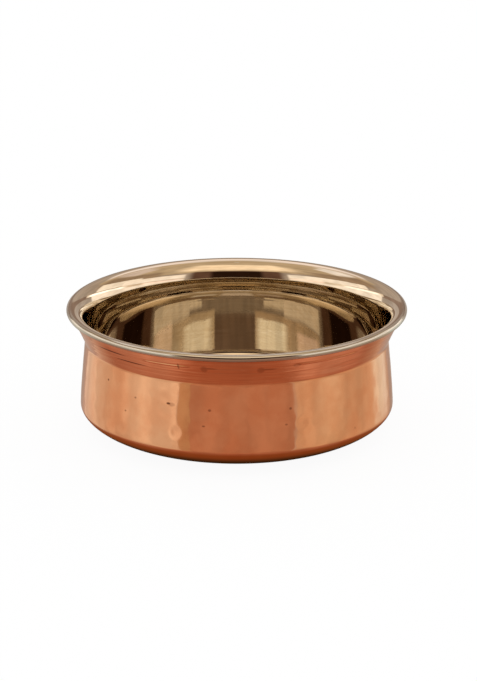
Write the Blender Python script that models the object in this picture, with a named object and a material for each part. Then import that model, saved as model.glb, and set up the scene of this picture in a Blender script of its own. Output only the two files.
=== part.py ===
# Handi serving bowl: a hammered copper shell with a polished, nearly straight steel pot inside it.
# The pot's lip is curled over the shell's flared edge, which locks the two sheets together.
# Metres, +Z up, origin on the axis at the underside of the base.

import math

import bmesh
import bpy

# Driving dimensions
rim_diameter = 0.170            # over the curled lip
overall_height = 0.0633         # from the table to the top of the lip
body_diameter = 0.1576          # widest part of the wall
base_diameter = 0.100           # flat part that the bowl stands on
crease_setback = 0.009          # how far inside the rim the groove between wall and neck lies
crease_height = 0.0461
heel_height = 0.013             # the wall is widest here and turns under below it
belly_height = 0.019            # the wall leans in from about here up to the crease
heel_fullness = 1.8             # 2 makes the heel an ellipse, less makes it leaner
flare_angle = math.radians(30)  # lean of the neck at its upper edge, from vertical
flare_length = 0.008            # how far down from the edge that lean still pulls the neck
mouth_setback = 0.0099          # how far inside the rim the liner's mouth begins to open out
mouth_depth = 0.0082            # height over which it opens out to the lip
mouth_slope = math.radians(74)  # its lean where it begins, from level
waist_setback = 0.0015          # how far inside the crease the liner's inner side stands there
wall_lean = 0.022               # how much the liner widens below the crease, per metre down
copper_sheet = 0.0006
steel_sheet = 0.0006

# Clearances
floor_room = 0.0011             # further height of the liner's floor above where it would touch
sheet_gap = 0.0003              # between liner and shell where they lie together
edge_room = 0.0008              # around the shell's edge inside the curl

# Smoothness of the turned shapes
turn_steps = 64
neck_steps = 3
wall_steps = 4
heel_steps = 9
mouth_steps = 5
curl_steps = 6

# Sizes that follow
crease_radius = rim_diameter / 2 - crease_setback
curl_inner_radius = copper_sheet / 2 + edge_room
curl_radius = curl_inner_radius + steel_sheet
curl_centre_x = rim_diameter / 2 - curl_radius
curl_centre_z = overall_height - curl_radius
liner_inset = copper_sheet + sheet_gap + steel_sheet
waist_radius = crease_radius - waist_setback
mouth_radius = rim_diameter / 2 - mouth_setback


def bezier(start, control, end, steps):
    """Points of a quadratic curve, without its first point."""
    points = []
    for step in range(1, steps + 1):
        t = step / steps
        weights = ((1 - t) ** 2, 2 * t * (1 - t), t ** 2)
        points.append(tuple(
            weights[0] * a + weights[1] * b + weights[2] * c
            for a, b, c in zip(start, control, end)))
    return points


def arc(centre, radius, first_angle, last_angle, steps):
    """Points of a circular arc, without its first point."""
    points = []
    for step in range(1, steps + 1):
        angle = first_angle + (last_angle - first_angle) * step / steps
        points.append((centre[0] + radius * math.cos(angle), centre[1] + radius * math.sin(angle)))
    return points


def rounded_corner(centre, reach_x, reach_z, fullness, steps):
    """Points from beside the centre to above or below it, bulging by the fullness."""
    points = []
    for step in range(steps + 1):
        aside = math.sin(math.pi / 2 * (1 - step / steps))
        along = math.sin(math.pi / 2 * step / steps)
        points.append((
            centre[0] + reach_x * aside ** (2 / fullness),
            centre[1] + reach_z * along ** (2 / fullness)))
    return points


def offset(points, distance):
    """The same outline moved to the right of its own direction, with mitred corners."""
    normals = []
    for (x0, z0), (x1, z1) in zip(points, points[1:]):
        length = math.hypot(x1 - x0, z1 - z0)
        normals.append(((z1 - z0) / length, (x0 - x1) / length))
    moved = []
    for index, (x, z) in enumerate(points):
        before = normals[max(index - 1, 0)]
        after = normals[min(index, len(normals) - 1)]
        mitre = 1 + before[0] * after[0] + before[1] * after[1]
        moved.append((
            x + distance * (before[0] + after[0]) / mitre,
            z + distance * (before[1] + after[1]) / mitre))
    return moved


def neck_outline():
    """Outside of the shell's neck, from its edge inside the curl down to the crease."""
    edge = (
        curl_centre_x + copper_sheet / 2 * math.cos(flare_angle),
        curl_centre_z - copper_sheet / 2 * math.sin(flare_angle))
    pull = (
        edge[0] - flare_length * math.sin(flare_angle),
        edge[1] - flare_length * math.cos(flare_angle))
    return [edge] + bezier(edge, pull, (crease_radius, crease_height), neck_steps)


def body_outline():
    """Outside of the shell from the crease down the wall, round the heel and in to the axis."""
    crease = (crease_radius, crease_height)
    belly = (body_diameter / 2, belly_height)
    widest = (body_diameter / 2, heel_height)
    wall = bezier(crease, belly, widest, wall_steps)
    heel = rounded_corner(
        (base_diameter / 2, heel_height), (body_diameter - base_diameter) / 2, -heel_height,
        heel_fullness, heel_steps)
    return [crease] + wall + heel[1:] + [(0, 0)]


def shell_profile():
    """Section of the copper sheet, from the axis up its inner side and down its outer side."""
    outside = neck_outline() + body_outline()[1:]
    inside = offset(outside, copper_sheet)
    return inside[::-1] + outside


def liner_profile():
    """Section of the steel sheet, from the axis up the side that holds food and back behind it."""
    wall = []
    for x, z in offset(body_outline(), liner_inset)[::-1]:
        straight = waist_radius + wall_lean * max(crease_height - z, 0)
        wall.append((min(x, straight), z + floor_room))
    throat = (mouth_radius, overall_height - mouth_depth)
    pull = (mouth_radius + mouth_depth / math.tan(mouth_slope), overall_height)
    mouth = [throat] + bezier(throat, pull, (curl_centre_x, overall_height), mouth_steps)
    room = copper_sheet / 2 + sheet_gap
    curl_end = -math.pi / 2 - flare_angle + math.asin(room / curl_inner_radius)
    curl = arc((curl_centre_x, curl_centre_z), curl_radius, math.pi / 2, curl_end, curl_steps)
    front = wall + mouth + curl
    back = offset(front, steel_sheet)
    return front + back[::-1]


def turned(name, profile, material):
    """A closed body turned about Z from a section that starts and ends on the axis."""
    mesh = bpy.data.meshes.new(name)
    shape = bmesh.new()
    corners = [shape.verts.new((x, 0, z)) for x, z in profile]
    edges = [shape.edges.new(pair) for pair in zip(corners, corners[1:])]
    bmesh.ops.spin(
        shape, geom=corners + edges, cent=(0, 0, 0), axis=(0, 0, 1),
        angle=2 * math.pi, steps=turn_steps, use_duplicate=False)
    bmesh.ops.remove_doubles(shape, verts=shape.verts, dist=1e-6)
    bmesh.ops.recalc_face_normals(shape, faces=shape.faces)
    shape.to_mesh(mesh)
    shape.free()
    mesh.shade_smooth()
    mesh.set_sharp_from_angle(angle=math.radians(28))
    mesh.materials.append(material)
    body = bpy.data.objects.new(name, mesh)
    bpy.context.scene.collection.objects.link(body)
    return body


def metal(name, colour, roughness):
    material = bpy.data.materials.new(name)
    material.use_nodes = True
    surface = material.node_tree.nodes["Principled BSDF"]
    surface.inputs["Base Color"].default_value = (*colour, 1)
    surface.inputs["Metallic"].default_value = 1
    surface.inputs["Roughness"].default_value = roughness
    return material


for old in list(bpy.data.objects):
    bpy.data.objects.remove(old)

polished_copper = metal("polished_copper", (0.86, 0.43, 0.27), 0.12)
polished_steel = metal("polished_steel", (0.72, 0.62, 0.50), 0.08)
turned("copper_shell", shell_profile(), polished_copper)
turned("steel_liner", liner_profile(), polished_steel)
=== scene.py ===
import math
import random
import bpy
import numpy as np
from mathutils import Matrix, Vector, noise


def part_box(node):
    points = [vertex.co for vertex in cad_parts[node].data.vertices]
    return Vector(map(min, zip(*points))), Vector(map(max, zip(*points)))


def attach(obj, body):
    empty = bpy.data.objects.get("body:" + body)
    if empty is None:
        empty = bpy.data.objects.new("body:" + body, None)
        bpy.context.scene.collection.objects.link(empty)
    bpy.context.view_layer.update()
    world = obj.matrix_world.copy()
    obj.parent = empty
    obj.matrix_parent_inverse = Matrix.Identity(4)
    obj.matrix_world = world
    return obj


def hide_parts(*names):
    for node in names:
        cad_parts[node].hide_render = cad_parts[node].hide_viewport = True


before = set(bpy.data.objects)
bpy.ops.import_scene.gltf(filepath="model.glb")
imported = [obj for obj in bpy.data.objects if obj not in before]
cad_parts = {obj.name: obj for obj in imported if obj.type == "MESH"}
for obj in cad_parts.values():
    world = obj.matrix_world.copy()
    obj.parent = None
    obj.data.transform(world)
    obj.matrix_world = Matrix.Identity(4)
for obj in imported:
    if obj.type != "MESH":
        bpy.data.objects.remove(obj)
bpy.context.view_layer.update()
scene = bpy.context.scene

# Everything is in metres, with the bowl standing on z = 0 around the Z axis.
bowl = {
    "rimRadius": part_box("steel_liner")[1].x,
    "height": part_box("steel_liner")[1].z,
    "edgeRadius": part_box("copper_shell")[1].x,     # the copper's edge inside the curled lip
    "edgeHeight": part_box("copper_shell")[1].z,
    "bodyRadius": 0.0788,
    "baseRadius": 0.050,
    "creaseRadius": 0.076,
    "creaseHeight": 0.0461,
    "heelHeight": 0.013,
    "bellyHeight": 0.019,
    "heelFullness": 1.8,
    "flareAngle": math.radians(30),    # lean of the neck at its edge, from vertical
    "flareLength": 0.008,              # how far down from the edge that lean still pulls the neck
    "sheet": 0.0006,
}


# Outlines are lists of (distance from the axis, height)

def quadCurve(start, pull, end, steps):
    points = []
    for step in range(1, steps + 1):
        t = step / steps
        points.append(tuple(
            (1 - t) ** 2 * a + 2 * t * (1 - t) * b + t ** 2 * c
            for a, b, c in zip(start, pull, end)))
    return points


def fullCorner(centre, reachX, reachZ, fullness, steps):
    points = []
    for step in range(steps + 1):
        t = step / steps
        points.append((
            centre[0] + reachX * math.sin(math.pi / 2 * (1 - t)) ** (2 / fullness),
            centre[1] + reachZ * math.sin(math.pi / 2 * t) ** (2 / fullness)))
    return points


def arcAround(centre, radius, firstAngle, lastAngle, steps):
    points = []
    for step in range(1, steps + 1):
        angle = firstAngle + (lastAngle - firstAngle) * step / steps
        points.append((centre[0] + radius * math.cos(angle), centre[1] + radius * math.sin(angle)))
    return points


def alongside(points, distance):    # the same outline, moved to the right of its direction
    normals = []
    for (x0, z0), (x1, z1) in zip(points, points[1:]):
        length = math.hypot(x1 - x0, z1 - z0)
        normals.append(((z1 - z0) / length, (x0 - x1) / length))
    moved = []
    for index, (x, z) in enumerate(points):
        before = normals[max(index - 1, 0)]
        after = normals[min(index, len(normals) - 1)]
        mitre = 1 + before[0] * after[0] + before[1] * after[1]
        moved.append((
            x + distance * (before[0] + after[0]) / mitre,
            z + distance * (before[1] + after[1]) / mitre))
    return moved


def walkFrom(points, index, direction, reach):    # the place that lies a given way along from a point
    here = Vector(points[index])
    left = reach
    while 0 <= index + direction < len(points):
        there = Vector(points[index + direction])
        step = (there - here).length
        if step >= left:
            return tuple(here.lerp(there, left / step)), index + direction
        left -= step
        here = there
        index += direction
    return tuple(here), index


def softenCorner(points, index, reach, steps):    # a rounded bend instead of the corner at that point
    start, first = walkFrom(points, index, -1, reach)
    end, last = walkFrom(points, index, 1, reach)
    return points[:first + 1] + [start] + quadCurve(start, points[index], end, steps) + points[last:]


def neckOutline(steps):
    edge = (bowl["edgeRadius"], bowl["edgeHeight"])
    lean = bowl["flareAngle"]
    pull = (edge[0] - bowl["flareLength"] * math.sin(lean), edge[1] - bowl["flareLength"] * math.cos(lean))
    return [edge] + quadCurve(edge, pull, (bowl["creaseRadius"], bowl["creaseHeight"]), steps)


def bodyOutline(wallSteps, heelSteps):
    crease = (bowl["creaseRadius"], bowl["creaseHeight"])
    widest = (bowl["bodyRadius"], bowl["heelHeight"])
    wall = quadCurve(crease, (bowl["bodyRadius"], bowl["bellyHeight"]), widest, wallSteps)
    heel = fullCorner(
        (bowl["baseRadius"], bowl["heelHeight"]), bowl["bodyRadius"] - bowl["baseRadius"],
        -bowl["heelHeight"], bowl["heelFullness"], heelSteps)
    return [crease] + wall + heel[1:]


# Modelling

turning = {
    "start": 0.001,              # size of the plane that shrinks to the outline's first vertex
    "joinWithin": 0.000002,
    "smoothBelow": math.radians(35),
}


def deselectAll():
    if bpy.context.mode != "OBJECT":
        bpy.ops.object.mode_set(mode="OBJECT")
    bpy.ops.object.select_all(action="DESELECT")


def turnOutline(name, points, segments):    # one vertex extruded along the outline, then spun about Z
    deselectAll()
    bpy.ops.mesh.primitive_plane_add(size=turning["start"], location=(points[0][0], 0, points[0][1]))
    piece = bpy.context.object
    piece.name = piece.data.name = name
    bpy.ops.object.transform_apply(location=True, rotation=True, scale=True)
    bpy.ops.object.mode_set(mode="EDIT")
    bpy.ops.mesh.merge(type="CENTER")
    for (x0, z0), (x1, z1) in zip(points, points[1:]):
        bpy.ops.mesh.extrude_region_move(TRANSFORM_OT_translate={"value": (x1 - x0, 0, z1 - z0)})
    bpy.ops.mesh.select_all(action="SELECT")
    bpy.ops.mesh.spin(steps=segments, angle=2 * math.pi, center=(0, 0, 0), axis=(0, 0, 1))
    bpy.ops.mesh.select_all(action="SELECT")
    bpy.ops.mesh.remove_doubles(threshold=turning["joinWithin"])
    bpy.ops.mesh.normals_make_consistent(inside=False)
    bpy.ops.object.mode_set(mode="OBJECT")
    bpy.ops.object.shade_smooth_by_angle(angle=turning["smoothBelow"])
    return piece


# Copper shell: a turned sheet, its wall beaten by hand

shell = {
    "segments": 512,
    "neckSteps": 84,
    "wallSteps": 36,
    "heelSteps": 24,
    "creaseReach": 0.0009,    # how far from the crease it is rounded
    "creaseSteps": 4,
    "hiddenNeckSteps": 4,     # the sheet's inner side doesn't show
    "hiddenWallSteps": 6,
    "hiddenHeelSteps": 8,
}

hammering = {
    "seed": 7,
    "rows": (0.0170, 0.0225, 0.0280, 0.0335, 0.0390, 0.0435),    # heights of the rows of marks
    "perRow": 58,
    "jitter": 0.0026,
    "size": (0.0030, 0.0048),          # radius of a mark
    "depth": (0.000010, 0.000045),
    "deepMarks": (    # degrees from the front, height, radius and depth of each
        (-21.9, 0.0212, 0.0036, 0.00010),
        (23.7, 0.0258, 0.0034, 0.00009),
        (-33.6, 0.0354, 0.0022, 0.00005),
        (-17.5, 0.0283, 0.0020, 0.00004),
    ),
    "liftShare": 0.25,          # of a mark's depth, thrown up around it
    "liftRing": (0.7, 0.8),     # start and width of that ring, in radii of the mark
    "waves": ((110, 0.000022), (340, 0.000004)),    # scale and height of the wall's unevenness
    "lowest": 0.004,              # nothing is beaten below this height
    "fadeIn": (0.006, 0.015),     # heights over which the beating sets in
    "fadeOut": (0.004, 0.001),    # and distances below the crease over which it stops
}

lineEnd = 2    # degrees over which a neck line sets in and runs out
neckLines = (    # height, width and rise of a line that the spinning tool left, its first and last degree
    (0.0555, 0.00045, 0.00026, -33, -17),
    (0.0563, 0.00048, 0.00022, 21, 45),
    (0.0554, 0.00030, 0.00004, -170, 170),
    (0.0524, 0.00028, -0.00005, -175, 165),
    (0.0495, 0.00060, 0.00003, -165, 175),
)


def makeShell():
    neck = neckOutline(shell["neckSteps"])
    outside = neck + bodyOutline(shell["wallSteps"], shell["heelSteps"])[1:]
    outside = softenCorner(outside, len(neck) - 1, shell["creaseReach"], shell["creaseSteps"])
    hiddenBody = bodyOutline(shell["hiddenWallSteps"], shell["hiddenHeelSteps"])
    plain = neckOutline(shell["hiddenNeckSteps"]) + hiddenBody[1:]
    inside = alongside(plain, bowl["sheet"])
    inside[-1] = (inside[-1][0], bowl["sheet"])
    section = [(0, 0)] + outside[::-1] + inside + [(0, bowl["sheet"])]
    piece = turnOutline("copperShell", section, shell["segments"])
    print("copper shell turned:", len(piece.data.vertices), "vertices")
    beatWall(piece)
    return piece


def smoothRamp(low, high, values):
    t = np.clip((values - low) / (high - low), 0, 1)
    return t * t * (3 - 2 * t)


def skinOf(piece):    # places and normals of its points
    places = np.empty(len(piece.data.vertices) * 3)
    normals = np.empty(len(places))
    piece.data.vertices.foreach_get("co", places)
    piece.data.vertices.foreach_get("normal", normals)
    return places.reshape(-1, 3), normals.reshape(-1, 3)


def pushSkin(piece, places, normals, push):    # moves each point along its normal
    places = places + normals * push[:, None]
    piece.data.vertices.foreach_set("co", places.ravel())
    piece.data.update()


def hammerMarks():    # angle around from the front, height, radius and depth of each
    rng = random.Random(hammering["seed"])
    marks = []
    for row, height in enumerate(hammering["rows"]):
        for place in range(hammering["perRow"]):
            angle = 360 * (place + 0.5 * (row % 2)) / hammering["perRow"]
            angle += math.degrees(rng.uniform(-1, 1) * hammering["jitter"] / bowl["bodyRadius"])
            marks.append((
                angle - 180, height + rng.uniform(-1, 1) * hammering["jitter"],
                rng.uniform(*hammering["size"]), rng.uniform(*hammering["depth"])))
    return marks + list(hammering["deepMarks"])


def beatWall(piece):    # moves the outer skin in and out along its normals
    places, normals = skinOf(piece)
    around = np.arctan2(places[:, 0], -places[:, 1])
    outer = (normals[:, :2] * places[:, :2]).sum(1) > 0
    push = np.zeros(len(places))
    wall = outer & (places[:, 2] < bowl["creaseHeight"]) & (places[:, 2] > hammering["lowest"])
    for angle, height, radius, depth in hammerMarks():
        aside = np.abs((around - math.radians(angle) + math.pi) % (2 * math.pi) - math.pi)
        near = np.hypot(aside * bowl["bodyRadius"], places[:, 2] - height) / radius
        dent = np.where(near < 1, (1 - near ** 2) ** 2, 0)
        ring = (near - hammering["liftRing"][0]) / hammering["liftRing"][1]    # 0 at its start, 1 at its end
        lift = np.where((ring > 0) & (ring < 1), np.sin(ring * math.pi) ** 2, 0)
        push += wall * depth * (hammering["liftShare"] * lift - dent)
    fadeIn = smoothRamp(*hammering["fadeIn"], places[:, 2])
    fadeOut = smoothRamp(*(bowl["creaseHeight"] - below for below in hammering["fadeOut"]), places[:, 2])
    fade = fadeIn * (1 - fadeOut)
    for index in np.nonzero(wall)[0]:
        for scale, swell in hammering["waves"]:
            push[index] += swell * noise.noise(Vector(places[index]) * scale)
        push[index] *= fade[index]
    neck = outer & (places[:, 2] > bowl["creaseHeight"])
    turned = np.degrees(around)
    for height, width, rise, first, last in neckLines:
        line = rise * np.exp(-((places[:, 2] - height) / width) ** 2)
        starts = smoothRamp(first - lineEnd, first + lineEnd, turned)
        ends = smoothRamp(last - lineEnd, last + lineEnd, turned)
        push += neck * line * starts * (1 - ends)
    pushSkin(piece, places, normals, push)
    print("wall beaten with", len(hammerMarks()), "marks")


copperShell = makeShell()

# Steel liner: a nearly straight pot, its lip curled over the copper's edge

liner = {
    "segments": 384,
    "floorRadius": 0.0411,
    "floorHeight": 0.0026,
    "floorDome": 0.0007,      # how much the floor rises to its middle
    "footRadius": 0.07516,    # inner side where the wall begins
    "footHeight": 0.0140,
    "footFullness": 1.8,
    "shoulderRadius": 0.0745,
    "shoulderHeight": 0.0423,
    "bulge": 0.0005,          # of the wall, half way up
    "waistRadius": 0.07446,
    "waistHeight": 0.0480,
    "waistLean": 0.03,
    "mouthRadius": 0.0751,    # corner where the pot ends and the mouth begins to open out
    "mouthHeight": 0.0551,
    "mouthSlope": math.radians(74),
    "mouthRise": 0.0135,      # how strongly the mouth keeps to that slope
    "lipRun": 0.0135,         # how strongly it lies down towards the lip
    "cornerLean": 0.12,
    "curlRadius": 0.0017,
    "curlEnds": math.radians(-87),    # from level, inwards under the lip
    "waves": (60, 0.000010),      # scale and height of the wall's unevenness
    "fadeIn": (0.010, 0.020),     # heights over which it sets in
    "fadeOut": (0.008, 0.002),    # and distances below the waist over which it stops
}

fineSteps = {"floor": 8, "foot": 30, "wall": 24, "shoulder": 20, "neck": 16, "mouth": 34, "curl": 20}
plainSteps = {"floor": 2, "foot": 8, "wall": 3, "shoulder": 3, "neck": 2, "mouth": 10, "curl": 12}


def bentCurve(start, startRun, end, endRun, steps):    # leaves and arrives in the directions of the runs
    points = []
    for step in range(1, steps + 1):
        t = step / steps
        weights = (
            2 * t ** 3 - 3 * t ** 2 + 1, t ** 3 - 2 * t ** 2 + t,
            3 * t ** 2 - 2 * t ** 3, t ** 3 - t ** 2)
        points.append(tuple(
            sum(weight * part for weight, part in zip(weights, parts))
            for parts in zip(start, startRun, end, endRun)))
    return points


def linerFront(steps):    # from the middle of the floor up to the end of the curl
    edge = (liner["floorRadius"], liner["footHeight"])
    foot = fullCorner(
        edge, liner["footRadius"] - liner["floorRadius"], liner["floorHeight"] - liner["footHeight"],
        liner["footFullness"], steps["foot"])[::-1]
    floor = []
    for step in range(steps["floor"]):
        share = step / steps["floor"]
        floor.append((
            liner["floorRadius"] * share, liner["floorHeight"] + liner["floorDome"] * (1 - share ** 2)))
    shoulder = (liner["shoulderRadius"], liner["shoulderHeight"])
    middle = (
        (foot[-1][0] + shoulder[0]) / 2 + liner["bulge"], (foot[-1][1] + shoulder[1]) / 2)
    wall = quadCurve(foot[-1], middle, shoulder, steps["wall"])
    waist = (liner["waistRadius"], liner["waistHeight"])
    rise = waist[1] - shoulder[1]
    way = (Vector(shoulder) - Vector(middle)).normalized() * rise
    toWaist = bentCurve(shoulder, way, waist, (liner["waistLean"] * rise, rise), steps["shoulder"])
    corner = (liner["mouthRadius"], liner["mouthHeight"])
    rise = corner[1] - waist[1]
    toCorner = bentCurve(
        waist, (liner["waistLean"] * rise, rise), corner, (liner["cornerLean"] * rise, rise), steps["neck"])
    curlX = bowl["rimRadius"] - liner["curlRadius"]
    slope = liner["mouthSlope"]
    opening = (liner["mouthRise"] * math.cos(slope), liner["mouthRise"] * math.sin(slope))
    mouth = bentCurve(corner, opening, (curlX, bowl["height"]), (liner["lipRun"], 0), steps["mouth"])
    curl = arcAround(
        (curlX, bowl["height"] - liner["curlRadius"]), liner["curlRadius"],
        math.radians(90), liner["curlEnds"], steps["curl"])
    return floor + foot + wall + toWaist + toCorner + mouth + curl


def waveWall(piece):    # the pot's side that holds food is not quite even
    places, normals = skinOf(piece)
    inner = (normals[:, :2] * places[:, :2]).sum(1) < 0
    fadeIn = smoothRamp(*liner["fadeIn"], places[:, 2])
    fadeOut = smoothRamp(*(liner["waistHeight"] - below for below in liner["fadeOut"]), places[:, 2])
    fade = inner * fadeIn * (1 - fadeOut)
    scale, swell = liner["waves"]
    push = np.zeros(len(places))
    for index in np.nonzero(fade)[0]:
        push[index] = swell * noise.noise(Vector(places[index]) * scale)
    pushSkin(piece, places, normals, push * fade)


def makeLiner():
    front = linerFront(fineSteps)
    back = alongside(linerFront(plainSteps), bowl["sheet"])
    back[0] = (0, back[0][1])
    piece = turnOutline("steelLiner", front + back[::-1], liner["segments"])
    print("steel liner turned:", len(piece.data.vertices), "vertices")
    waveWall(piece)
    return piece


steelLiner = makeLiner()


# Materials

class Wiring:    # short ways to add and join nodes
    def __init__(self, tree):
        self.tree = tree

    def add(self, kind, **settings):
        node = self.tree.nodes.new(kind)
        for key, value in settings.items():
            setattr(node, key, value)
        return node

    def join(self, source, target):
        self.tree.links.new(source, target)

    def math(self, operation, first, second=None):
        node = self.add("ShaderNodeMath", operation=operation)
        for socket, value in zip(node.inputs, (first, second)):
            if isinstance(value, (int, float)):
                socket.default_value = value
            elif value is not None:
                self.join(value, socket)
        return node.outputs["Value"]

    def ramp(self, value, low, high, start=0, end=1):
        node = self.add("ShaderNodeMapRange", interpolation_type="SMOOTHSTEP")
        for name, number in zip(("From Min", "From Max", "To Min", "To Max"), (low, high, start, end)):
            if isinstance(number, (int, float)):
                node.inputs[name].default_value = number
            else:
                self.join(number, node.inputs[name])
        self.join(value, node.inputs["Value"])
        return node.outputs["Result"]

    def mixColour(self, amount, first, second):
        node = self.add("ShaderNodeMix", data_type="RGBA")
        for socket, value in (("Factor", amount), ("A", first), ("B", second)):
            if isinstance(value, tuple):
                node.inputs[socket].default_value = (*value, 1)
            elif isinstance(value, (int, float)):
                node.inputs[socket].default_value = value
            else:
                self.join(value, node.inputs[socket])
        return node.outputs["Result"]


def newGroup(name, inputs, outputs):
    group = bpy.data.node_groups.new(name, "ShaderNodeTree")
    for label, value in inputs.items():
        socket = group.interface.new_socket(name=label, in_out="INPUT", socket_type="NodeSocketFloat")
        socket.default_value = value
    for label in outputs:
        group.interface.new_socket(name=label, in_out="OUTPUT", socket_type="NodeSocketFloat")
    wires = Wiring(group)
    return group, wires, wires.add("NodeGroupInput"), wires.add("NodeGroupOutput")


def lathePosition(wires):    # where on the piece: x, y, z and distance from the axis
    split = wires.add("ShaderNodeSeparateXYZ")
    wires.join(wires.add("ShaderNodeTexCoord").outputs["Object"], split.inputs["Vector"])
    x, y, z = split.outputs
    radius = wires.math("SQRT", wires.math("ADD", wires.math("MULTIPLY", x, x), wires.math("MULTIPLY", y, y)))
    return x, y, z, radius


linePattern = {"detail": 3, "dark": 0.3, "bright": 0.7, "narrowing": 0.25}
patinaPattern = {"detail": 4, "roughness": 0.55, "clouds": (0.35, 0.7), "pit": (0.06, 0.16)}
spotCore = 0.15    # square of the part of a spot's radius that is fully dark


def makeLatheLines():    # lines that a lathe leaves round the piece, which come and go along their way
    group, wires, given, result = newGroup(
        "latheLines", {"Fineness": 900, "Wander": 25, "Contrast": 0.5}, ("Lines",))
    x, y, z, radius = lathePosition(wires)
    across = wires.math("MULTIPLY", given.outputs["Fineness"], z)
    around = wires.add("ShaderNodeCombineXYZ")
    wires.join(wires.math("MULTIPLY", given.outputs["Wander"], x), around.inputs["X"])
    wires.join(wires.math("MULTIPLY", given.outputs["Wander"], y), around.inputs["Y"])
    wires.join(across, around.inputs["Z"])
    noiseNode = wires.add("ShaderNodeTexNoise", noise_dimensions="4D")
    noiseNode.inputs["Scale"].default_value = 1
    noiseNode.inputs["Detail"].default_value = linePattern["detail"]
    wires.join(around.outputs["Vector"], noiseNode.inputs["Vector"])
    wires.join(wires.math("MULTIPLY", given.outputs["Fineness"], radius), noiseNode.inputs["W"])
    narrower = wires.math("MULTIPLY", given.outputs["Contrast"], linePattern["narrowing"])
    low = wires.math("ADD", linePattern["dark"], narrower)
    high = wires.math("SUBTRACT", linePattern["bright"], narrower)
    lines = wires.ramp(noiseNode.outputs["Fac"], low, high)
    wires.join(lines, result.inputs["Lines"])
    return group


def makePatina():    # soft cloudy tarnish, and small dark pits
    group, wires, given, result = newGroup(
        "patina", {"Cloud Size": 60, "Pit Size": 130, "Pit Share": 0.1}, ("Clouds", "Pits"))
    place = wires.add("ShaderNodeTexCoord").outputs["Object"]
    clouds = wires.add("ShaderNodeTexNoise")
    clouds.inputs["Detail"].default_value = patinaPattern["detail"]
    clouds.inputs["Roughness"].default_value = patinaPattern["roughness"]
    wires.join(place, clouds.inputs["Vector"])
    wires.join(given.outputs["Cloud Size"], clouds.inputs["Scale"])
    wires.join(wires.ramp(clouds.outputs["Fac"], *patinaPattern["clouds"]), result.inputs["Clouds"])
    pits = wires.add("ShaderNodeTexVoronoi")
    wires.join(place, pits.inputs["Vector"])
    wires.join(given.outputs["Pit Size"], pits.inputs["Scale"])
    chance = wires.add("ShaderNodeSeparateColor")
    wires.join(pits.outputs["Color"], chance.inputs["Color"])
    dots = wires.math("SUBTRACT", 1, wires.ramp(pits.outputs["Distance"], *patinaPattern["pit"]))
    chosen = wires.math("LESS_THAN", chance.outputs["Red"], given.outputs["Pit Share"])
    wires.join(wires.math("MULTIPLY", dots, chosen), result.inputs["Pits"])
    return group


def makeSpot():    # one oval mark at an angle from the front and a height
    group, wires, given, result = newGroup(
        "spot", {"Angle": 0, "Height": 0.03, "Half Width": 0.001, "Half Height": 0.001}, ("Mask",))
    x, y, z, radius = lathePosition(wires)
    angle = wires.math("ARCTAN2", x, wires.math("MULTIPLY", y, -1))
    aside = wires.math("MULTIPLY", wires.math("SUBTRACT", angle, given.outputs["Angle"]), radius)
    across = wires.math("DIVIDE", aside, given.outputs["Half Width"])
    above = wires.math("SUBTRACT", z, given.outputs["Height"])
    up = wires.math("DIVIDE", above, given.outputs["Half Height"])
    away = wires.math("ADD", wires.math("MULTIPLY", across, across), wires.math("MULTIPLY", up, up))
    wires.join(wires.math("SUBTRACT", 1, wires.ramp(away, spotCore, 1)), result.inputs["Mask"])
    return group


latheLines = makeLatheLines()
patina = makePatina()
spot = makeSpot()


def newMetal(name, roughness):
    material = bpy.data.materials.new(name)
    material.use_nodes = True
    wires = Wiring(material.node_tree)
    surface = material.node_tree.nodes["Principled BSDF"]
    surface.inputs["Metallic"].default_value = 1
    surface.inputs["Roughness"].default_value = roughness
    return material, wires, surface


def placeGroup(wires, group, values):
    node = wires.add("ShaderNodeGroup", node_tree=group)
    for label, value in values.items():
        node.inputs[label].default_value = value
    return node


def bumpOn(wires, surface, height, distance):
    bump = wires.add("ShaderNodeBump")
    bump.inputs["Distance"].default_value = distance
    wires.join(height, bump.inputs["Height"])
    wires.join(bump.outputs["Normal"], surface.inputs["Normal"])


copperFinish = {
    "colour": (0.86, 0.45, 0.26),
    "tarnish": (0.80, 0.36, 0.19),
    # also the colour of the dark marks below, which are painted reflections on the neck
    "pit": (0.20, 0.07, 0.03),
    "roughness": (0.055, 0.12),
    "evenRoughness": 0.08,            # the socket's own value, under the clouds
    "neckEdge": (-0.0004, 0.0008),    # heights from the crease between which the neck's finish sets in
    "lines": {"Fineness": 1500, "Wander": 30, "Contrast": 0.9},
    "lineDepth": 0.000006,
    "patina": {"Cloud Size": 85, "Pit Size": 125, "Pit Share": 0.10},
    "cloudShare": 0.75,
    "pitShare": 0.5,
    "pitDepth": 3,                    # in depths of a line
}

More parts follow.
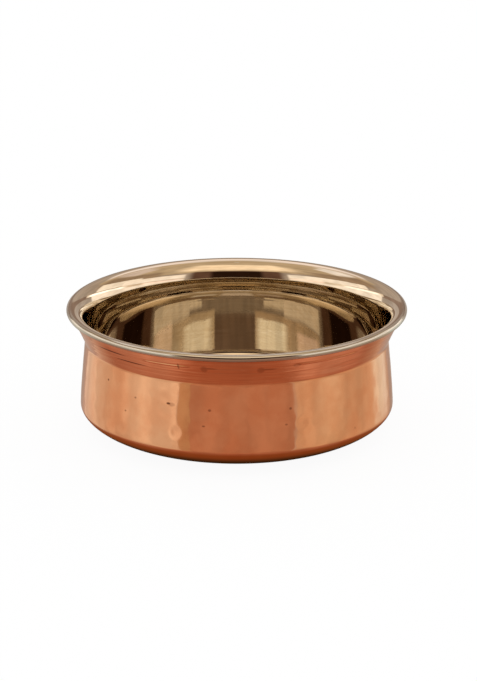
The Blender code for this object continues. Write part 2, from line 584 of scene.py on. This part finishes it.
# Dark marks painted into the copper's colour. Those on the neck are painted reflections: the dark streaks
# that its spun lines mirror. Those on the wall darken small spots.
wallSpotsAndPaintedReflections = (    # degrees from the front, height, half width, half height, strength
    (-24.9, 0.0349, 0.0014, 0.0007, 1.0),
    (-23.6, 0.0346, 0.0022, 0.0012, 0.35),
    (-54.1, 0.0384, 0.0008, 0.0007, 0.8),
    (-9.6, 0.0335, 0.0010, 0.0008, 0.6),
    (-11.7, 0.0256, 0.0010, 0.0006, 0.6),
    (-39.0, 0.0344, 0.0008, 0.0006, 0.6),
    (-43.5, 0.0266, 0.0008, 0.0006, 0.6),
    (19.3, 0.0334, 0.0009, 0.0008, 0.6),
    (17.6, 0.0258, 0.0009, 0.0006, 0.5),
    # from here on, the neck: painted dark reflections along its spun lines
    (-49, 0.0554, 0.0130, 0.00055, 1.0),
    (-40, 0.0524, 0.0125, 0.00045, 0.95),
    (-20.1, 0.0553, 0.0007, 0.0020, 0.6),
    (-11.1, 0.0548, 0.0022, 0.0022, 0.35),
    (-9.5, 0.0553, 0.0050, 0.0006, 0.4),
    (8.2, 0.0545, 0.0024, 0.0020, 0.35),
    (10.5, 0.0548, 0.0060, 0.0006, 0.45),
    (20.7, 0.0558, 0.0026, 0.0013, 0.35),
)


def copperMaterial():
    material, wires, surface = newMetal("beatenCopper", copperFinish["evenRoughness"])
    height = lathePosition(wires)[2]
    neckStart, neckFull = (bowl["creaseHeight"] + above for above in copperFinish["neckEdge"])
    neck = wires.ramp(height, neckStart, neckFull)
    lines = placeGroup(wires, latheLines, copperFinish["lines"])
    worn = placeGroup(wires, patina, copperFinish["patina"])
    turned = wires.math("MULTIPLY", lines.outputs["Lines"], neck)
    cloudy = wires.math("MULTIPLY", worn.outputs["Clouds"], copperFinish["cloudShare"])
    stain = wires.math("MAXIMUM", turned, cloudy)
    tint = wires.mixColour(stain, copperFinish["colour"], copperFinish["tarnish"])
    wallPits = wires.math("MULTIPLY", worn.outputs["Pits"], wires.math("SUBTRACT", 1, neck))
    dark = wires.math("MULTIPLY", wallPits, copperFinish["pitShare"])
    # the marks add painted dark reflections on the neck, and darker spots on the wall, to the pits
    for angle, markHeight, halfWidth, halfHeight, strength in wallSpotsAndPaintedReflections:
        mark = placeGroup(wires, spot, {
            "Angle": math.radians(angle), "Height": markHeight,
            "Half Width": halfWidth, "Half Height": halfHeight})
        dark = wires.math("MAXIMUM", dark, wires.math("MULTIPLY", mark.outputs["Mask"], strength))
    wires.join(wires.mixColour(dark, tint, copperFinish["pit"]), surface.inputs["Base Color"])
    rough = wires.ramp(worn.outputs["Clouds"], 0, 1, *copperFinish["roughness"])
    wires.join(rough, surface.inputs["Roughness"])
    relief = wires.math("SUBTRACT", turned, wires.math("MULTIPLY", wallPits, copperFinish["pitDepth"]))
    bumpOn(wires, surface, relief, copperFinish["lineDepth"])
    return material


steelFinish = {
    "colour": (0.66, 0.60, 0.50),
    "streak": (0.62, 0.55, 0.44),
    "roughness": (0.006, 0.025),
    "evenRoughness": 0.03,            # the socket's own value, under the clouds
    "lines": {"Fineness": 2600, "Wander": 18, "Contrast": 0.6},
    "lineDepth": 0.0000001,
    "patina": {"Cloud Size": 45, "Pit Size": 200, "Pit Share": 0.02},
    "lipColour": (0.50, 0.48, 0.43),
    "lipRoughness": 0.10,
    "lipEdge": (-0.0032, -0.0016),    # distances from the rim between which the lip's finish sets in
}


def steelMaterial():
    material, wires, surface = newMetal("mirrorSteel", steelFinish["evenRoughness"])
    lines = placeGroup(wires, latheLines, steelFinish["lines"])
    worn = placeGroup(wires, patina, steelFinish["patina"])
    tint = wires.mixColour(lines.outputs["Lines"], steelFinish["colour"], steelFinish["streak"])
    lipStart, lipFull = (bowl["rimRadius"] + beyond for beyond in steelFinish["lipEdge"])
    lip = wires.ramp(lathePosition(wires)[-1], lipStart, lipFull)
    wires.join(wires.mixColour(lip, tint, steelFinish["lipColour"]), surface.inputs["Base Color"])
    lipRough = wires.math("MULTIPLY", lip, steelFinish["lipRoughness"])
    rough = wires.ramp(worn.outputs["Clouds"], 0, 1, *steelFinish["roughness"])
    wires.join(wires.math("MAXIMUM", rough, lipRough), surface.inputs["Roughness"])
    bumpOn(wires, surface, lines.outputs["Lines"], steelFinish["lineDepth"])
    return material


def dress(piece, material):
    piece.data.materials.clear()
    piece.data.materials.append(material)


dress(copperShell, copperMaterial())
dress(steelLiner, steelMaterial())
print("both metals dressed")

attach(copperShell, "root")
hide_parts("copper_shell")
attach(steelLiner, "root")
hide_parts("steel_liner")

# Studio: a light tent of soft panels that only the metal mirrors, on a white table

studio = {
    "centre": (0, 0, 0.03),
    "radius": 3.0,
    "layerStep": 0.04,         # each panel hangs this much nearer than the one before it
    "panelCuts": (72, 36),
    "tableRadius": 12.0,
    "tableCorners": 96,
}

# Each panel: name, sweep from the front, heights, soft edges (all in degrees), glow below and above.
# A later panel hangs in front of the ones before it.
tentPanels = [
    ("tentRoof", (-180, 180), (-89, 89), (0, 0), (0.72, 0.53, 0.34), (0.72, 0.53, 0.34)),
    ("frontCanopy", (-66, 66), (36, 74), (26, 10), (1.5, 1.15, 0.8), (1.5, 1.15, 0.8)),
    ("backPanel", (150, 210), (20, 76), (4, 8), (0.45, 0.33, 0.25), (1, 0.86, 0.72)),
    ("lowBack", (-180, 180), (-89, 36), (0, 3), (0.6, 0.58, 0.56), (0.56, 0.43, 0.34)),
    ("sideDarkLeft", (-148, -60), (22, 50), (16, 9), (0.5, 0.34, 0.22), (0.42, 0.28, 0.18)),
    ("sideDarkRight", (60, 148), (22, 50), (16, 9), (0.5, 0.34, 0.22), (0.42, 0.28, 0.18)),
    ("highLeft", (-152, -94), (43, 63), (14, 5), (1.3, 1.15, 1.05), (1.3, 1.15, 1.05)),
    ("highRight", (94, 152), (43, 63), (14, 5), (0.95, 0.76, 0.66), (0.95, 0.76, 0.66)),
    ("backPatch", (146, 214), (38, 66), (14, 4), (1.3, 1.12, 1.05), (1.3, 1.12, 1.05)),
    ("rearColumn", (143, 217), (12, 19), (0, 1), (0.37, 0.25, 0.19), (0.37, 0.25, 0.19)),
    ("upperLeft", (-125, -86), (19.3, 29.5), (4, 1), (1.55, 1.35, 1.15), (1.5, 1.3, 1.1)),
    ("upperRight", (82, 138), (19.2, 33.5), (4, 1), (1.5, 1.3, 1.1), (1.4, 1.2, 1)),
    ("softboxLeft", (-146, -41), (14, 19.4), (3, 0.5), (1.15, 0.95, 0.75), (1.05, 0.82, 0.6)),
    ("softboxLeftA", (-144, -89), (14, 18.3), (12, 0.3), (1.95, 1.8, 1.6), (1.95, 1.8, 1.6)),
    ("softboxLeftB", (-76, -41), (14, 20.8), (5, 1), (1.5, 1.15, 0.95), (1.6, 1.3, 1.1)),
    ("softboxLeftTop", (-104, -41), (18.6, 30), (3, 1), (1.4, 1.22, 1.05), (1.4, 1.22, 1.05)),
    ("softboxLeftFoot", (-143, -41), (-2, 14.6), (3, 0.3), (1.4, 1.22, 1.05), (1.4, 1.22, 1.05)),
    ("softboxRight", (41, 152), (14, 19.2), (3, 0.5), (1.05, 0.82, 0.62), (0.95, 0.7, 0.5)),
    ("softboxRightA", (94, 152), (14, 18.2), (12, 0.3), (2.05, 1.95, 1.8), (2.05, 1.95, 1.8)),
    ("softboxRightB", (41, 84), (14, 18.1), (8, 0.5), (1.7, 1.35, 1.15), (1.6, 1.2, 1.05)),
    ("softboxRightTop", (41, 104), (18.6, 30.5), (3, 1), (1.45, 1.25, 1.08), (1.4, 1.2, 1.03)),
    ("softboxRightFoot", (41, 143), (-2, 14.6), (3, 0.3), (1.45, 1.25, 1.08), (1.45, 1.25, 1.08)),
    ("frontGap", (-42, 42), (-2, 37), (8, 1), (0.16, 0.08, 0.05), (0.16, 0.08, 0.05)),
    ("frontDark", (-24, 24), (-2, 35), (6, 1), (0.03, 0.012, 0.006), (0.03, 0.012, 0.006)),
    ("lowRear", (135, 225), (-60, 2), (4, 3), (0.46, 0.35, 0.28), (0.52, 0.44, 0.38)),
    ("lowLeft", (-148, -41), (-60, 0), (2, 2), (0.5, 0.4, 0.3), (0.95, 0.9, 0.78)),
    ("lowLeftDim", (-126, -72), (-60, 2), (22, 6), (0.46, 0.3, 0.21), (0.84, 0.72, 0.58)),
    ("lowRight", (41, 150), (-60, 0), (2, 2), (0.56, 0.36, 0.22), (0.7, 0.58, 0.44)),
    ("lowRightTop", (52, 92), (-22, 2), (14, 7), (0.64, 0.5, 0.34), (0.8, 0.76, 0.64)),
    ("lowRightEdge", (114, 148), (-22, 2), (10, 7), (0.84, 0.9, 0.82), (0.84, 0.9, 0.82)),
    ("lowFront", (-41, 41), (-60, 0), (1, 1), (0.45, 0.22, 0.12), (0.53, 0.33, 0.24)),
    ("lowFrontStrip", (-42, -33), (-40, 0), (1, 1), (0.56, 0.41, 0.26), (0.56, 0.41, 0.26)),
    ("underGlow", (-180, 180), (-89, -24), (0, 18), (0.34, 0.13, 0.075), (0.46, 0.23, 0.15)),
    ("neckGlowLeft", (-150, -50), (-86, -36), (30, 8), (0.76, 0.49, 0.4), (0.5, 0.27, 0.19)),
    ("neckGlowRight", (50, 150), (-86, -36), (30, 8), (0.76, 0.49, 0.4), (0.5, 0.27, 0.19)),
]

# Soft folds and shadows in the panels
panelCloth = {"scale": 2.2, "folds": (0.3, 0.7), "glow": (0.88, 1.12)}


def emptyMaterial(name):
    material = bpy.data.materials.new(name)
    material.use_nodes = True
    material.node_tree.nodes.clear()
    wires = Wiring(material.node_tree)
    return material, wires, wires.add("ShaderNodeOutputMaterial")


def mixShaders(wires, amount, first, second):
    mix = wires.add("ShaderNodeMixShader")
    for socket, source in zip(mix.inputs, (amount, first, second)):
        if isinstance(source, (int, float)):
            socket.default_value = source
        else:
            wires.join(source, socket)
    return mix.outputs["Shader"]


def panelMaterial(name, glowBelow, glowAbove, softAcross, softUp):    # fades out towards its edges
    material, wires, output = emptyMaterial(name)
    place = wires.add("ShaderNodeTexCoord")
    split = wires.add("ShaderNodeSeparateXYZ")
    wires.join(place.outputs["UV"], split.inputs["Vector"])
    folds = wires.add("ShaderNodeTexNoise")
    folds.inputs["Scale"].default_value = panelCloth["scale"]
    wires.join(place.outputs["Object"], folds.inputs["Vector"])
    light = wires.add("ShaderNodeEmission")
    wires.join(wires.mixColour(split.outputs["Y"], glowBelow, glowAbove), light.inputs["Color"])
    strength = wires.ramp(folds.outputs["Fac"], *panelCloth["folds"], *panelCloth["glow"])
    wires.join(strength, light.inputs["Strength"])
    amount = 1
    for axis, soft in (("X", softAcross), ("Y", softUp)):
        if soft > 0:
            toEdge = wires.math("PINGPONG", split.outputs[axis], 0.5)
            amount = wires.math("MULTIPLY", wires.ramp(toEdge, 0, soft), amount)
    clear = wires.add("ShaderNodeBsdfTransparent")
    shown = mixShaders(wires, amount, clear.outputs["BSDF"], light.outputs["Emission"])
    wires.join(shown, output.inputs["Surface"])
    return material


def showOnlyToMetal(piece):
    piece.visible_camera = False
    piece.visible_diffuse = False
    piece.visible_transmission = False
    piece.visible_shadow = False


def hangPanel(order, name, sweep, heights, soft, glowBelow, glowAbove):
    radius = studio["radius"] - studio["layerStep"] * order
    deselectAll()
    cutsAcross, cutsUp = studio["panelCuts"]
    bpy.ops.mesh.primitive_grid_add(x_subdivisions=cutsAcross, y_subdivisions=cutsUp, size=1)
    panel = bpy.context.object
    panel.name = panel.data.name = name
    for vertex in panel.data.vertices:    # the grid bends into a patch of a sphere around the bowl
        across = math.radians(sweep[0] + (sweep[1] - sweep[0]) * (vertex.co.x + 0.5))
        up = math.radians(heights[0] + (heights[1] - heights[0]) * (vertex.co.y + 0.5))
        vertex.co = Vector(studio["centre"]) + radius * Vector((
            math.cos(up) * math.sin(across), -math.cos(up) * math.cos(across), math.sin(up)))
    dress(panel, panelMaterial(
        name, glowBelow, glowAbove,
        soft[0] / (sweep[1] - sweep[0]), soft[1] / (heights[1] - heights[0])))
    showOnlyToMetal(panel)


for order, panel in enumerate(tentPanels):
    hangPanel(order, *panel)


underShade = {
    "radius": 0.095,
    "corners": 64,
    "dark": (0.04, 0.018, 0.006),
    "brown": (0.26, 0.09, 0.03),
    "reach": (0.066, 0.079, 0.094),    # dark up to the first, brown by the second, clear at the last
    "drop": 0.0004,
}


def shadeMaterial():    # what the metal mirrors of the table close under the bowl
    material, wires, output = emptyMaterial("underShade")
    radius = lathePosition(wires)[-1]
    near, middle, far = underShade["reach"]
    glow = wires.add("ShaderNodeEmission")
    tint = wires.mixColour(wires.ramp(radius, near, middle), underShade["dark"], underShade["brown"])
    wires.join(tint, glow.inputs["Color"])
    clear = wires.add("ShaderNodeBsdfTransparent")
    fading = wires.ramp(radius, middle, far)
    shown = mixShaders(wires, fading, glow.outputs["Emission"], clear.outputs["BSDF"])
    wires.join(shown, output.inputs["Surface"])
    return material


deselectAll()
bpy.ops.mesh.primitive_circle_add(
    vertices=underShade["corners"], radius=underShade["radius"], fill_type="NGON",
    location=(0, 0, -underShade["drop"]))
bpy.ops.object.transform_apply(location=True, rotation=True, scale=True)
shade = bpy.context.object
shade.name = shade.data.name = "underShade"
dress(shade, shadeMaterial())
showOnlyToMetal(shade)

tableWhiteness = 0.94    # how far the table's own white covers its lit surface, for the camera only


def tableMaterial():
    material, wires, output = emptyMaterial("whiteTable")
    paint = wires.add("ShaderNodeBsdfDiffuse")
    paint.inputs["Color"].default_value = (1, 1, 1, 1)
    white = wires.add("ShaderNodeEmission")
    share = wires.math("MULTIPLY", wires.add("ShaderNodeLightPath").outputs["Is Camera Ray"], tableWhiteness)
    shown = mixShaders(wires, share, paint.outputs["BSDF"], white.outputs["Emission"])
    wires.join(shown, output.inputs["Surface"])
    return material


deselectAll()
bpy.ops.mesh.primitive_circle_add(
    vertices=studio["tableCorners"], radius=studio["tableRadius"], fill_type="NGON")
table = bpy.context.object
table.name = table.data.name = "table"
dress(table, tableMaterial())
table.visible_glossy = False

world = bpy.data.worlds.new("whiteRoom")
world.use_nodes = True
world.node_tree.nodes["Background"].inputs["Color"].default_value = (1, 1, 1, 1)
scene.world = world
print("studio ready")

# Camera: the photograph's angle, 18.5 degrees above the table

view = {
    "target": (0, 0, 0.030),
    "distance": 1.2,
    "lift": math.radians(18.46),
    "sensor": 36,
    "imageHeight": 681,
    "focalPixels": 2380.8,
    "targetRight": -1.75,    # where the target shows, in pixels from the middle of the image
    "targetUp": -26.1,
}


def addCamera():
    target = Vector(view["target"])
    place = target + view["distance"] * Vector((0, -math.cos(view["lift"]), math.sin(view["lift"])))
    ahead = (target - place).normalized()
    right = ahead.cross(Vector((0, 0, 1))).normalized()
    up = right.cross(ahead)
    aim = ahead - (view["targetRight"] * right + view["targetUp"] * up) / view["focalPixels"]
    bpy.ops.object.camera_add(location=place, rotation=aim.to_track_quat("-Z", "Y").to_euler())
    camera = bpy.context.object
    camera.data.sensor_width = view["sensor"]
    camera.data.lens = view["focalPixels"] * view["sensor"] / view["imageHeight"]
    scene.camera = camera


deselectAll()
addCamera()
scene.view_settings.view_transform = "Standard"
mirrorBounces = 16    # the pot's walls mirror each other many times
panelLayers = 24      # clear edges of panels that one ray may cross
scene.cycles.glossy_bounces = mirrorBounces
scene.cycles.max_bounces = mirrorBounces
scene.cycles.transparent_max_bounces = panelLayers
